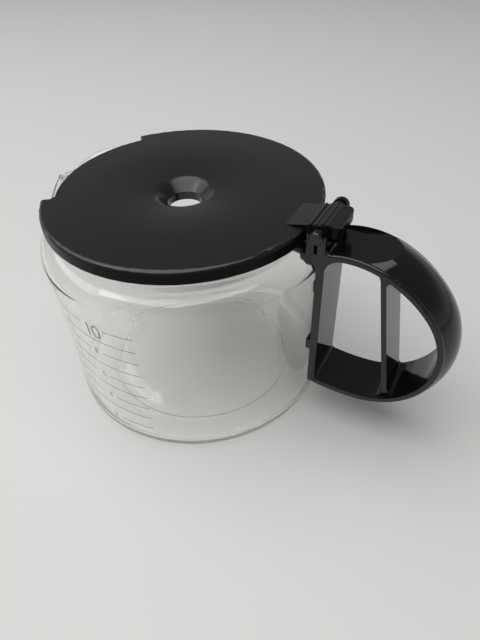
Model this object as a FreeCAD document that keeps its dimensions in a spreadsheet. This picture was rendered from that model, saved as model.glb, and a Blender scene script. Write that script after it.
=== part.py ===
import FreeCAD, Part
import math
import os

import Sketcher

# A glass coffee jug with a hinged lid. The jug stands on Z = 0 around the Z axis, the handle lies along +X
# and the spout along -X. The lid turns about a pin parallel to Y, over the handle.
# Lengths are in millimetres and angles in degrees.

driving = {
    # glass bowl
    "belly_radius": 74.0,
    "jug_height": 112.5,
    "wall_curve_radius": 690.0,
    "foot_inset": 1.0,
    "heel_radius": 6.0,
    "foot_ring_width": 13.0,
    "push_up_height": 2.0,
    "push_up_slope": 4.0,
    "glass_wall": 2.4,
    # glass neck and rim, which step in and out from the belly
    "shoulder_radius": 10.0,
    "neck_inset": 12.4,
    "neck_fillet": 2.5,
    "neck_length": 3.2,
    "rim_flare": 3.4,
    "rim_flare_height": 3.5,
    "rim_thickness": 2.6,
    # spout: reach past the rim, half width and rise of the lips, depth of the trough below them
    "spout_root_overhang": -15.0,
    "spout_root_half_width": 33.0,
    "spout_root_rise": -3.0,
    "spout_root_depth": 2.6,
    "spout_flank_overhang": -6.2,
    "spout_flank_half_width": 27.4,
    "spout_flank_rise": 1.7,
    "spout_flank_depth": 6.4,
    "spout_crest_overhang": 1.3,
    "spout_crest_half_width": 16.5,
    "spout_crest_rise": 1.6,
    "spout_crest_depth": 6.7,
    "spout_beak_overhang": 8.0,
    "spout_beak_half_width": 10.3,
    "spout_beak_rise": -2.0,
    "spout_beak_depth": 4.7,
    "spout_tip_overhang": 16.3,
    "spout_tip_half_width": 3.2,
    "spout_tip_rise": -7.3,
    "spout_tip_depth": 2.6,
    "spout_wall": 1.9,
    # neck band and its screw
    "band_thickness": 0.8,
    "band_clearance": 0.1,
    "band_headroom": 0.3,
    "tongue_width": 9.0,
    "tongue_past_screw": 4.0,
    "tongue_corner": 1.4,
    "screw_from_neck": 8.8,
    "screw_radius": 1.4,
    "screw_tip_radius": 0.7,
    "screw_tip_clearance": 0.8,
    "screw_clearance": 0.1,
    "screw_head_radius": 2.8,
    "screw_head_height": 1.7,
    "screw_slot_length": 3.4,
    "screw_slot_width": 0.7,
    "screw_slot_depth": 0.8,
    # lid
    "lid_gap": 0.3,
    "lid_plate": 2.2,
    "lid_overhang": 4.0,
    "lid_edge_round": 2.0,
    "skirt_height": 6.7,
    "skirt_thickness": 1.8,
    "skirt_edge_round": 0.6,
    "dish_depth": 2.7,
    "dimple_radius": 13.9,
    "dimple_depth": 5.1,
    "dimple_round": 4.5,
    "dimple_wall": 1.9,
    "drip_hole_radius": 8.5,
    "drip_hole_length": 4.0,
    "drip_hole_round": 0.5,
    "drip_tube_shoulder": 1.1,
    "plug_clearance": 2.0,
    "plug_thickness": 1.8,
    "plug_height": 6.0,
    "plug_gap_width": 44.0,
    "notch_depth": 7.0,
    "notch_half_angle": 36.0,
    "notch_corner": 1.6,
    # thumb tab on the lid, with reaches from the pivot and heights from the lid's top
    "tab_front": 16.2,
    "tab_crest_reach": 2.8,
    "tab_crest_rise": 4.4,
    "tab_rib_front": 4.7,
    "tab_rib_radius": 0.6,
    "tab_rib_pitch": 2.7,
    "tab_rib_count": 3,
    "tab_overhang": 8.5,
    "tab_end_rise": 3.8,
    "tab_sink": 1.4,
    "tab_end_round": 1.0,
    "tab_corner": 2.4,
    "tab_inset": 1.0,
    # hinge
    "pivot_overhang": 6.2,
    "pivot_rise": -0.2,
    "pin_radius": 3.2,
    "pin_stand_out": 1.4,
    "pin_chamfer": 0.5,
    "pin_head_stand_out": 4.4,
    "pin_head_length": 3.6,
    "pin_head_radius": 3.8,
    "pin_head_round": 1.5,
    "pin_clearance": 0.06,
    "barrel_wall": 0.9,
    "ear_width": 2.6,
    "ear_wall": 1.14,
    "ear_rise": 0.8,
    "ear_clearance": 0.5,
    "cradle_slot_width": 1.6,
    "cradle_slot_depth": 5.0,
    "swing_clearance": 0.4,
    # handle: a chain of tangent arcs, from the hinge over the top, round the back and along the bottom
    "grip_width": 27.6,
    "grip_band": 3.0,
    "grip_centre_offset": 15.8,
    "grip_start_drop": 7.5,
    "grip_top_radius": 41.2,
    "grip_top_end": 66.0,
    "grip_back_radius": 57.2,
    "grip_back_end": 39.2,
    "grip_round_radius": 40.2,
    "grip_round_end": -85.0,
    "grip_bottom_radius": 88.7,
    "grip_edge_round": 1.2,
    "grip_start_round": 1.8,
    "grip_crown": 4.3,
    "grip_crown_inset": 1.6,
    "post_gap": 2.0,
    "post_thickness": 3.8,
    "post_flare_drop": 18.8,
    "ear_foot_drop": 10.3,
    "ear_flare_radius": 9.0,
    "window_top_fillet": 8.5,
    "window_bottom_fillet": 2.0,
    "window_edge_round": 0.5,
    "rib_inset": 2.5,
    "rib_thickness": 2.5,
    "rib_top_angle": 70.0,
    "rib_bottom_angle": -61.0,
    "rib_front_fillet": 7.0,
    "rib_foot_fillet": 5.0,
    "rib_back_fillet": 3.0,
    "saddle_from_neck": 1.4,
    "saddle_inset": 3.8,
    "saddle_toe_inset": 1.4,
    "cheek_from_neck": 6.0,
    "cheek_inset": 1.8,
    "cheek_rise": 6.5,
    "glass_clearance": 0.4,
    "rest_pad_upper_drop": 3.0,
    "rest_pad_lower_drop": 40.5,
    "rest_pad_height": 6.0,
    "rest_pad_inset": 3.4,
    # thumb recess in the top of the grip
    "recess_depth": 0.6,
    "recess_margin": 1.4,
    "recess_floor_radius": 220.0,
    "recess_end": 67.0,
}

doc = FreeCAD.newDocument("coffee_jug")
sheet = doc.addObject("Spreadsheet::Sheet", "sizes")


class Size:
    # A number together with the sheet formula that gives it.
    def __init__(self, value, formula):
        self.value = value
        self.formula = formula

    def __add__(self, other):
        return combine(self, "+", other, self.value + number(other))

    def __radd__(self, other):
        return combine(other, "+", self, other + self.value)

    def __sub__(self, other):
        return combine(self, "-", other, self.value - number(other))

    def __rsub__(self, other):
        return combine(other, "-", self, other - self.value)

    def __mul__(self, other):
        return combine(self, "*", other, self.value * number(other))

    def __rmul__(self, other):
        return combine(other, "*", self, other * self.value)

    def __truediv__(self, other):
        return combine(self, "/", other, self.value / number(other))

    def __neg__(self):
        return Size(-self.value, f"(-1 * {self.formula})")


def number(size):
    return size.value if isinstance(size, Size) else float(size)


def formula(size):
    return size.formula if isinstance(size, Size) else str(float(size))


def combine(left, sign, right, value):
    return Size(value, f"({formula(left)} {sign} {formula(right)})")


def root(size):
    return Size(math.sqrt(size.value), f"sqrt({size.formula})")


def cosine(angle):
    return Size(math.cos(math.radians(angle.value)), f"cos({angle.formula})")


def sine(angle):
    return Size(math.sin(math.radians(angle.value)), f"sin({angle.formula})")


def other_leg(hypotenuse, leg):
    return root(hypotenuse * hypotenuse - leg * leg)


def length_of(along, up):
    return root(along * along + up * up)


class Sizes:
    # The driving dimensions, written to the sheet one row each.
    def __init__(self, values):
        for row, (alias, value) in enumerate(values.items(), start=1):
            sheet.set(f"A{row}", alias)
            sheet.set(f"B{row}", str(value))
            sheet.setAlias(f"B{row}", alias)
            setattr(self, alias, Size(value, f"sizes.{alias}"))


def keep(name, size):
    # Gives a worked-out size a name of its own.
    derived.addProperty("App::PropertyFloat", name)
    derived.setExpression(name, size.formula)
    return Size(size.value, f"derived.{name}")


d = Sizes(driving)
derived = doc.addObject("App::VarSet", "derived")
doc.recompute()

least_change = 0.05
near = 0.05
overlap = 1.0


# Bodies, sketches and features

def new_body(label):
    body = doc.addObject("PartDesign::Body", label)
    body.Label = label
    return body


def new_sketch(body, name, role, offset=None):
    sketch = body.newObject("Sketcher::SketchObject", name)
    plane = next(item for item in body.Origin.OriginFeatures if item.Role == role)
    sketch.AttachmentSupport = [(plane, "")]
    sketch.MapMode = "FlatFace"
    if offset is not None:
        sketch.setExpression("AttachmentOffset.Base.z", formula(offset))
    return sketch


def bind(sketch, kind, *where, size):
    index = sketch.addConstraint(Sketcher.Constraint(kind, *where, number(size)))
    sketch.setExpression(f"Constraints[{index}]", formula(size))


def line_to(x, y):
    return (x, y, None, None)


def arc_left(x, y, radius):
    return (x, y, radius, 1)


def arc_right(x, y, radius):
    return (x, y, radius, -1)


def arc_middle(start, end, radius, turn):
    chord = end - start
    half = chord.Length / 2
    across = FreeCAD.Vector(chord.y, -chord.x, 0).normalize() * turn
    sag = radius - math.sqrt(max(radius * radius - half * half, 0))
    return (start + end) * 0.5 + across * sag


def draw_outline(sketch, steps):
    # A closed outline of straight runs and arcs of under half a turn, each given by where it ends.
    ends = [FreeCAD.Vector(number(step[0]), number(step[1]), 0) for step in steps]
    runs = []
    for index, (x, y, radius, turn) in enumerate(steps):
        start, end = ends[index - 1], ends[index]
        if radius is None:
            run = sketch.addGeometry(Part.LineSegment(start, end))
        else:
            middle = arc_middle(start, end, number(radius), turn)
            run = sketch.addGeometry(Part.Arc(start, middle, end))
        clockwise = turn == -1
        runs.append((run, 2, 1) if clockwise else (run, 1, 2))
    for index, (run, first, last) in enumerate(runs):
        before = runs[index - 1]
        sketch.addConstraint(Sketcher.Constraint("Coincident", before[0], before[2], run, first))
        x, y, radius, turn = steps[index]
        bind(sketch, "DistanceX", run, last, size=x)
        bind(sketch, "DistanceY", run, last, size=y)
        if radius is not None:
            bind(sketch, "Radius", run, size=radius)


def draw_path(sketch, start_x, start_y, arcs):
    # An open chain of clockwise arcs, each given by where it ends and its radius.
    start = FreeCAD.Vector(number(start_x), number(start_y), 0)
    before = None
    for x, y, radius in arcs:
        end = FreeCAD.Vector(number(x), number(y), 0)
        run = sketch.addGeometry(Part.Arc(start, arc_middle(start, end, number(radius), -1), end))
        if before is None:
            bind(sketch, "DistanceX", run, 2, size=start_x)
            bind(sketch, "DistanceY", run, 2, size=start_y)
        else:
            sketch.addConstraint(Sketcher.Constraint("Coincident", before, 1, run, 2))
        bind(sketch, "DistanceX", run, 1, size=x)
        bind(sketch, "DistanceY", run, 1, size=y)
        bind(sketch, "Radius", run, size=radius)
        start, before = end, run


def draw_circle(sketch, x, y, radius):
    centre = FreeCAD.Vector(number(x), number(y), 0)
    run = sketch.addGeometry(Part.Circle(centre, FreeCAD.Vector(0, 0, 1), number(radius)))
    bind(sketch, "DistanceX", run, 3, size=x)
    bind(sketch, "DistanceY", run, 3, size=y)
    bind(sketch, "Radius", run, size=radius)


def draw_box(sketch, left, bottom, right, top):
    corners = ((left, bottom), (right, bottom), (right, top), (left, top))
    draw_outline(sketch, [line_to(x, y) for x, y in corners])


def turned(body, kind, name, sketch):
    feature = body.newObject(f"PartDesign::{kind}", name)
    feature.Profile = sketch
    feature.ReferenceAxis = (sketch, ["V_Axis"])
    feature.Angle = 360
    return finish(feature)


def extruded(body, kind, name, sketch, width, both_sides=True, reverse=False):
    feature = body.newObject(f"PartDesign::{kind}", name)
    feature.Profile = sketch
    feature.SideType = "Symmetric" if both_sides else "One side"
    feature.Reversed = reverse
    feature.setExpression("Length", formula(width))
    return finish(feature)


def lofted(body, kind, name, sketches):
    feature = body.newObject(f"PartDesign::{kind}", name)
    feature.Profile = sketches[0]
    feature.Sections = sketches[1:]
    return finish(feature)


def swept(body, kind, name, sketch, path):
    feature = body.newObject(f"PartDesign::{kind}", name)
    feature.Profile = sketch
    feature.Spine = (path, [f"Edge{index}" for index in range(1, path.GeometryCount + 1)])
    return finish(feature)


def finish(feature):
    # Every step has to add material or take some away.
    before = feature.BaseFeature.Shape.Volume if feature.BaseFeature else 0
    doc.recompute()
    if "Invalid" in feature.State or feature.Shape.isNull():
        raise RuntimeError(f"{feature.Name} did not build: {feature.getStatusString()}")
    if abs(feature.Shape.Volume - before) < least_change:
        raise RuntimeError(f"{feature.Name} changed nothing")
    return feature


def rounded(body, name, base, radius, chosen):
    # Rounds those edges of the base feature that the test picks.
    names = [f"Edge{index}" for index, edge in enumerate(base.Shape.Edges, start=1) if chosen(edge)]
    feature = body.newObject("PartDesign::Fillet", name)
    feature.Base = (base, names)
    feature.setExpression("Radius", formula(radius))
    return finish(feature)


def middle_of(edge):
    return edge.valueAt((edge.FirstParameter + edge.LastParameter) / 2)


# Heights and radii that more than one piece shares

through = keep("through", 2 * d.jug_height)
foot_radius = keep("foot_radius", d.belly_radius - d.foot_inset)
neck_radius = keep("neck_radius", d.belly_radius - d.neck_inset)
rim_radius = keep("rim_radius", neck_radius + d.rim_flare)
bead_height = keep("bead_height", d.jug_height - d.rim_thickness / 2)
neck_top = keep("neck_top", bead_height - d.rim_flare_height)
neck_bottom = keep("neck_bottom", neck_top - d.neck_length)
shoulder_centre = keep("shoulder_centre", d.belly_radius - d.shoulder_radius)
shoulder_span = d.shoulder_radius + d.neck_fillet
shoulder_cosine = keep("shoulder_cosine", (neck_radius + d.neck_fillet - shoulder_centre) / shoulder_span)
shoulder_sine = keep("shoulder_sine", root(1 - shoulder_cosine * shoulder_cosine))
belly_height = keep("belly_height", neck_bottom - shoulder_span * shoulder_sine)

band_inside = keep("band_inside", neck_radius + d.band_clearance)
band_bottom = keep("band_bottom", neck_bottom + d.band_clearance)
band_top = keep("band_top", neck_top - d.band_headroom)
tongue_top = keep("tongue_top", band_bottom + d.band_thickness)
screw_reach = keep("screw_reach", neck_radius + d.screw_from_neck)

lid_radius = keep("lid_radius", rim_radius + d.lid_overhang)
lid_underside = keep("lid_underside", d.jug_height + d.lid_gap)
lid_top = keep("lid_top", lid_underside + d.lid_plate)
pivot_reach = keep("pivot_reach", lid_radius + d.pivot_overhang)
pivot_height = keep("pivot_height", lid_top + d.pivot_rise)
bore_radius = keep("bore_radius", d.pin_radius + d.pin_clearance)
tab_end = keep("tab_end", pivot_reach + d.tab_overhang)
tab_swing = keep("tab_swing", length_of(d.tab_overhang, d.tab_end_rise - d.pivot_rise))

ear_radius = keep("ear_radius", bore_radius + d.ear_wall)
ear_top = keep("ear_top", pivot_height + d.ear_rise)
ear_inside = keep("ear_inside", d.grip_width / 2 - d.ear_width)
barrel_half_width = keep("barrel_half_width", ear_inside - d.ear_clearance)
grip_start = keep("grip_start", pivot_height - d.grip_start_drop)
grip_start_span = other_leg(d.grip_top_radius, d.grip_centre_offset - ear_radius)
grip_centre_reach = keep("grip_centre_reach", pivot_reach + d.grip_centre_offset)
grip_centre_height = keep("grip_centre_height", grip_start - grip_start_span)
post_inside = keep("post_inside", d.belly_radius + d.post_gap)
post_outside = keep("post_outside", post_inside + d.post_thickness)
flare_foot = keep("flare_foot", pivot_height - d.post_flare_drop)
saddle_start = keep("saddle_start", neck_radius + d.saddle_from_neck)


# Glass jug

def wall_radius_at(height):
    # Outer radius of the bowl's waisted wall, an arc from the heel up to the belly.
    up = belly_height - d.heel_radius
    chord = length_of(d.foot_inset, up)
    out = other_leg(d.wall_curve_radius, chord / 2)
    centre_radius = (foot_radius + d.belly_radius) / 2 + out * up / chord
    centre_height = (d.heel_radius + belly_height) / 2 - out * d.foot_inset / chord
    return centre_radius - other_leg(d.wall_curve_radius, height - centre_height)


def flare_radius(from_radius, to_radius):
    # An arc that leaves the neck upright and ends at the rim's bead.
    along = to_radius - from_radius
    up = d.rim_flare_height
    return (along * along + up * up) / (2 * along)


def bowl_outline(wall):
    # Half of the bowl's section, that far inside the glass's outer face, from the push-up to the neck's top.
    push_up_edge = foot_radius - d.heel_radius - d.foot_ring_width
    return [
        line_to(push_up_edge - d.push_up_slope, d.push_up_height + wall),
        line_to(push_up_edge, wall),
        line_to(foot_radius - d.heel_radius, wall),
        arc_left(foot_radius - wall, d.heel_radius, d.heel_radius - wall),
        arc_right(d.belly_radius - wall, belly_height, d.wall_curve_radius + wall),
        arc_left(
            shoulder_centre + (d.shoulder_radius - wall) * shoulder_cosine,
            belly_height + (d.shoulder_radius - wall) * shoulder_sine,
            d.shoulder_radius - wall,
        ),
        arc_right(neck_radius - wall, neck_bottom, d.neck_fillet + wall),
        line_to(neck_radius - wall, neck_top),
    ]


def make_glass_jug():
    body = new_body("glass_jug")
    bead = d.rim_thickness / 2

    outside = new_sketch(body, "bowl_outside", "XZ_Plane")
    draw_outline(outside, [
        line_to(0, d.push_up_height),
        *bowl_outline(0),
        arc_right(rim_radius, bead_height, flare_radius(neck_radius, rim_radius)),
        arc_left(rim_radius - bead, d.jug_height, bead),
        line_to(0, d.jug_height),
    ])
    turned(body, "Revolution", "bowl", outside)

    stations = ("root", "flank", "crest", "beak", "tip")
    reach = [rim_radius + getattr(d, f"spout_{name}_overhang") for name in stations]
    half_width = [getattr(d, f"spout_{name}_half_width") for name in stations]
    lip = [d.jug_height + getattr(d, f"spout_{name}_rise") for name in stations]
    depth = [getattr(d, f"spout_{name}_depth") for name in stations]

    beaks = []
    for index, name in enumerate(stations):
        sketch = new_sketch(body, f"spout_outside_{name}", "YZ_Plane", -reach[index])
        draw_outline(sketch, [
            line_to(-half_width[index], lip[index]),
            *trough(half_width[index], lip[index], depth[index]),
        ])
        beaks.append(sketch)
    lofted(body, "AdditiveLoft", "spout", beaks)

    inside = new_sketch(body, "bowl_inside", "XZ_Plane")
    inner_rim = rim_radius - d.rim_thickness
    clear_of_lips = lip[stations.index("flank")] + overlap
    draw_outline(inside, [
        line_to(0, d.push_up_height + d.glass_wall),
        *bowl_outline(d.glass_wall),
        arc_right(inner_rim, bead_height, flare_radius(neck_radius - d.glass_wall, inner_rim)),
        arc_right(inner_rim + bead, d.jug_height, bead),
        line_to(inner_rim + bead, clear_of_lips),
        line_to(0, clear_of_lips),
    ])
    turned(body, "Groove", "hollow", inside)

    channels = []
    shift = {"root": d.spout_wall, "tip": -d.spout_wall}
    for index, name in enumerate(stations):
        sketch = new_sketch(body, f"spout_inside_{name}", "YZ_Plane", shift.get(name, 0) - reach[index])
        inner_half_width = half_width[index] - d.spout_wall
        inner_depth = depth[index] - d.spout_wall
        draw_outline(sketch, [
            line_to(-inner_half_width, lip[index] + overlap),
            line_to(-inner_half_width, lip[index]),
            *trough(inner_half_width, lip[index], inner_depth),
            line_to(inner_half_width, lip[index] + overlap),
        ])
        channels.append(sketch)
    lofted(body, "SubtractiveLoft", "spout_channel", channels)
    return body


def trough(half_width, lip, depth):
    radius = (half_width * half_width + depth * depth) / (2 * depth)
    return [arc_left(0, lip - depth, radius), arc_left(half_width, lip, radius)]


# Neck band and screw

def make_neck_band():
    body = new_body("neck_band")
    hoop = new_sketch(body, "hoop_section", "XZ_Plane")
    draw_box(hoop, band_inside, band_bottom, band_inside + d.band_thickness, band_top)
    turned(body, "Revolution", "hoop", hoop)

    tongue = new_sketch(body, "tongue_plan", "XY_Plane", band_bottom)
    root_reach = band_inside + d.band_thickness / 2
    end = screw_reach + d.tongue_past_screw
    half = d.tongue_width / 2
    draw_outline(tongue, [
        line_to(root_reach, -half),
        line_to(end - d.tongue_corner, -half),
        arc_left(end, d.tongue_corner - half, d.tongue_corner),
        line_to(end, half - d.tongue_corner),
        arc_left(end - d.tongue_corner, half, d.tongue_corner),
        line_to(root_reach, half),
    ])
    extruded(body, "Pad", "tongue", tongue, d.band_thickness, both_sides=False)

    hole = new_sketch(body, "screw_hole_plan", "XY_Plane", band_bottom)
    draw_circle(hole, screw_reach, 0, d.screw_radius + d.screw_clearance)
    extruded(body, "Pocket", "screw_hole", hole, through)
    return body


def make_band_screw():
    # The screw holds the band's tongue down on the handle's saddle and stops short of the glass below.
    body = new_body("band_screw")
    section = new_sketch(body, "screw_section", "XZ_Plane")
    near_side = screw_reach - d.screw_tip_radius - shoulder_centre
    tip = belly_height + other_leg(d.shoulder_radius, near_side) + d.screw_tip_clearance
    head_top = tongue_top + d.screw_head_height
    dome = d.screw_head_height / 2
    draw_outline(section, [
        line_to(0, tip),
        line_to(d.screw_tip_radius, tip),
        line_to(d.screw_radius, tip + d.screw_tip_radius),
        line_to(d.screw_radius, tongue_top),
        line_to(d.screw_head_radius, tongue_top),
        line_to(d.screw_head_radius, head_top - dome),
        arc_left(d.screw_head_radius - dome, head_top, dome),
        line_to(0, head_top),
    ])
    turned(body, "Revolution", "screw", section)
    slot = new_sketch(body, "slot_plan", "XY_Plane", head_top)
    arm = d.screw_slot_length / 2
    slim = d.screw_slot_width / 2
    draw_outline(slot, [
        line_to(-slim, -arm),
        line_to(slim, -arm),
        line_to(slim, -slim),
        line_to(arm, -slim),
        line_to(arm, slim),
        line_to(slim, slim),
        line_to(slim, arm),
        line_to(-slim, arm),
        line_to(-slim, slim),
        line_to(-arm, slim),
        line_to(-arm, -slim),
        line_to(-slim, -slim),
    ])
    extruded(body, "Pocket", "cross_slot", slot, 2 * d.screw_slot_depth)
    body.setExpression("Placement.Base.x", formula(screw_reach))
    return body


# Lid

def make_lid():
    body = new_body("lid")
    add_cap(body)
    add_notch(body)
    add_tab(body)
    bore = new_sketch(body, "pin_bore_side", "XZ_Plane")
    draw_circle(bore, pivot_reach, pivot_height, d.pin_radius)
    extruded(body, "Pocket", "pin_bore", bore, through)
    return body


def add_cap(body):
    # The top curves down from its flat rim to a funnel-shaped dimple with a drip hole.
    skirt_bottom = lid_top - d.skirt_height
    skirt_inside = lid_radius - d.skirt_thickness
    plug_outside = neck_radius - d.glass_wall - d.plug_clearance
    plug_inside = plug_outside - d.plug_thickness
    plug_bottom = lid_underside - d.plug_height
    gap_half = d.plug_gap_width / 2
    dish_radius = keep("dish_radius", other_leg(plug_inside, gap_half))
    dish_bottom = lid_top - d.dish_depth
    dish_run = dish_radius - d.dimple_radius
    dish_curve = keep("dish_curve", (dish_run * dish_run + d.dish_depth * d.dish_depth) / (2 * d.dish_depth))
    hole_top = dish_bottom - d.dimple_depth
    hole_bottom = hole_top - d.drip_hole_length
    tube_outside = d.drip_hole_radius + d.dimple_wall
    dimple_outside = d.dimple_radius + d.dimple_wall
    under_curve = dish_curve - d.lid_plate
    under_dish = lid_top - dish_curve + other_leg(under_curve, dish_radius - dimple_outside)
    section = new_sketch(body, "cap_section", "XZ_Plane")
    draw_outline(section, [
        line_to(d.drip_hole_radius, hole_top),
        line_to(d.dimple_radius, dish_bottom),
        arc_right(dish_radius, lid_top, dish_curve),
        line_to(lid_radius - d.lid_edge_round, lid_top),
        arc_right(lid_radius, lid_top - d.lid_edge_round, d.lid_edge_round),
        line_to(lid_radius, skirt_bottom + d.skirt_edge_round),
        arc_right(lid_radius - d.skirt_edge_round, skirt_bottom, d.skirt_edge_round),
        line_to(skirt_inside, skirt_bottom),
        line_to(skirt_inside, lid_underside),
        line_to(plug_outside, lid_underside),
        line_to(plug_outside, plug_bottom),
        line_to(plug_inside, plug_bottom),
        line_to(plug_inside, lid_underside),
        line_to(dish_radius, lid_underside),
        arc_left(dimple_outside, under_dish, under_curve),
        line_to(tube_outside, hole_top - d.drip_tube_shoulder),
        line_to(tube_outside, hole_bottom),
        line_to(d.drip_hole_radius, hole_bottom),
    ])
    cap = turned(body, "Revolution", "cap", section)

    def on_ring(radius, height):
        def chosen(edge):
            spot = middle_of(edge)
            from_axis = math.hypot(spot.x, spot.y)
            return edge.Closed and math.hypot(from_axis - radius.value, spot.z - height.value) < near
        return chosen

    funnel = rounded(body, "dimple_rim", cap, d.dimple_round, on_ring(d.dimple_radius, dish_bottom))
    rounded(body, "drip_hole_rim", funnel, d.drip_hole_round, on_ring(d.drip_hole_radius, hole_top))

    gap = new_sketch(body, "plug_gap_plan", "XY_Plane", plug_bottom)
    draw_box(gap, -plug_outside - overlap, -gap_half, -dish_radius, gap_half)
    extruded(body, "Pocket", "plug_gap", gap, d.plug_height, both_sides=False, reverse=True)


def add_notch(body):
    # The lid stops short of the spout. The cut's inner corners are round.
    notch = new_sketch(body, "notch_plan", "XY_Plane", lid_top)
    along, across = cosine(d.notch_half_angle), sine(d.notch_half_angle)
    outer = lid_radius + overlap
    inner = lid_radius - d.notch_depth
    corner_out = inner + d.notch_corner
    corner_from_side = d.notch_corner / corner_out
    corner_along = root(1 - corner_from_side * corner_from_side)
    touch_arc_x = inner * (along * corner_along + across * corner_from_side)
    touch_arc_y = inner * (across * corner_along - along * corner_from_side)
    touch_side = corner_out * corner_along
    draw_outline(notch, [
        line_to(-outer * along, outer * across),
        line_to(-outer, outer * across),
        line_to(-outer, -outer * across),
        line_to(-outer * along, -outer * across),
        line_to(-touch_side * along, -touch_side * across),
        arc_right(-touch_arc_x, -touch_arc_y, d.notch_corner),
        arc_right(-touch_arc_x, touch_arc_y, inner),
        arc_right(-touch_side * along, touch_side * across, d.notch_corner),
    ])
    extruded(body, "Pocket", "notch", notch, through)


def add_tab(body):
    # A wedge that grows out of the lid's top, past the pivot, with the pin's barrel under it.
    half_width = barrel_half_width - d.tab_inset
    start = pivot_reach - d.tab_front
    crest = pivot_reach + d.tab_crest_reach
    slope = d.tab_crest_rise / (crest - start)
    end_top = lid_top + d.tab_end_rise
    side = new_sketch(body, "tab_side", "XZ_Plane")
    draw_outline(side, [
        line_to(start, lid_top),
        line_to(start, lid_top - d.lid_plate / 2),
        line_to(lid_radius, lid_underside),
        line_to(pivot_reach, pivot_height - d.pin_radius),
        line_to(pivot_reach + d.pin_radius, lid_top - d.tab_sink),
        line_to(tab_end, lid_top - d.tab_sink),
        line_to(tab_end, end_top - d.tab_end_round),
        arc_left(tab_end - d.tab_end_round, end_top, d.tab_end_round),
        line_to(crest, lid_top + d.tab_crest_rise),
    ])
    extruded(body, "Pad", "tab", side, 2 * half_width)

    for name, turn, arc in (("left", 1, arc_right), ("right", -1, arc_left)):
        corner = new_sketch(body, f"tab_corner_{name}_plan", "XY_Plane", lid_top)
        edge = turn * half_width
        inner = turn * (half_width - d.tab_corner)
        outer = turn * (half_width + overlap)
        draw_outline(corner, [
            line_to(tab_end - d.tab_corner, edge),
            arc(tab_end, inner, d.tab_corner),
            line_to(tab_end + overlap, inner),
            line_to(tab_end + overlap, outer),
            line_to(tab_end - d.tab_corner, outer),
        ])
        extruded(body, "Pocket", f"tab_corner_{name}", corner, through)

    ribs = new_sketch(body, "tab_rib_side", "XZ_Plane")
    for index in range(int(d.tab_rib_count.value)):
        along = d.tab_front - d.tab_rib_front + d.tab_rib_pitch * index
        draw_circle(ribs, start + along, lid_top + slope * along, d.tab_rib_radius)
    extruded(body, "Pad", "tab_ribs", ribs, 2 * half_width)

    barrel = new_sketch(body, "barrel_side", "XZ_Plane")
    draw_circle(barrel, pivot_reach, pivot_height, d.pin_radius + d.barrel_wall)
    extruded(body, "Pad", "barrel", barrel, 2 * barrel_half_width)


# Hinge pin

def make_hinge_pin():
    # The pin goes in from the left of the handle, up to its round head.
    body = new_body("hinge_pin")
    tail = -(d.grip_width / 2 + d.pin_stand_out)
    head_end = d.grip_width / 2 + d.pin_head_stand_out
    section = new_sketch(body, "pin_section", "XY_Plane")
    draw_outline(section, [
        line_to(0, tail),
        line_to(d.pin_radius - d.pin_chamfer, tail),
        line_to(d.pin_radius, tail + d.pin_chamfer),
        line_to(d.pin_radius, head_end - d.pin_head_length),
        line_to(d.pin_head_radius, head_end - d.pin_head_length),
        line_to(d.pin_head_radius, head_end - d.pin_head_round),
        arc_left(d.pin_head_radius - d.pin_head_round, head_end, d.pin_head_round),
        line_to(0, head_end),
    ])
    turned(body, "Revolution", "pin", section)
    body.setExpression("Placement.Base.x", formula(pivot_reach))
    body.setExpression("Placement.Base.z", formula(pivot_height))
    return body


# Handle

def place_grip_centres():
    # Each arc's centre is in line with the centre before it and the point where the two arcs meet.
    centres = [(grip_centre_reach, grip_centre_height)]
    for index, angle in enumerate(grip_ends):
        x, z = centres[index]
        step = grip_radii[index] - grip_radii[index + 1]
        centres.append((
            keep(f"grip_centre_{index}_reach", x + step * cosine(angle)),
            keep(f"grip_centre_{index}_height", z + step * sine(angle)),
        ))
    return centres


grip_radii = [d.grip_top_radius, d.grip_back_radius, d.grip_round_radius, d.grip_bottom_radius]
grip_ends = [d.grip_top_end, d.grip_back_end, d.grip_round_end]
grip_centres = place_grip_centres()
top_arc, back_arc, round_arc, bottom_arc = range(len(grip_radii))


def on_arc(arc, radius, angle):
    x, z = grip_centres[arc]
    return x + radius * cosine(angle), z + radius * sine(angle)


def grip_arcs(inset):
    # Radius of each arc of the grip, and where each meets the next, that far inside its outer face.
    radii = [radius - inset for radius in grip_radii]
    joins = [on_arc(arc, radii[arc], angle) for arc, angle in enumerate(grip_ends)]
    return radii, joins


def make_handle():
    body = new_body("handle")
    add_grip(body)
    add_crown(body)
    add_thumb_recess(body)
    add_window(body)
    add_rib(body)
    add_rest_pads(body)
    add_saddle(body)
    add_cradles(body)
    return body


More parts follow.
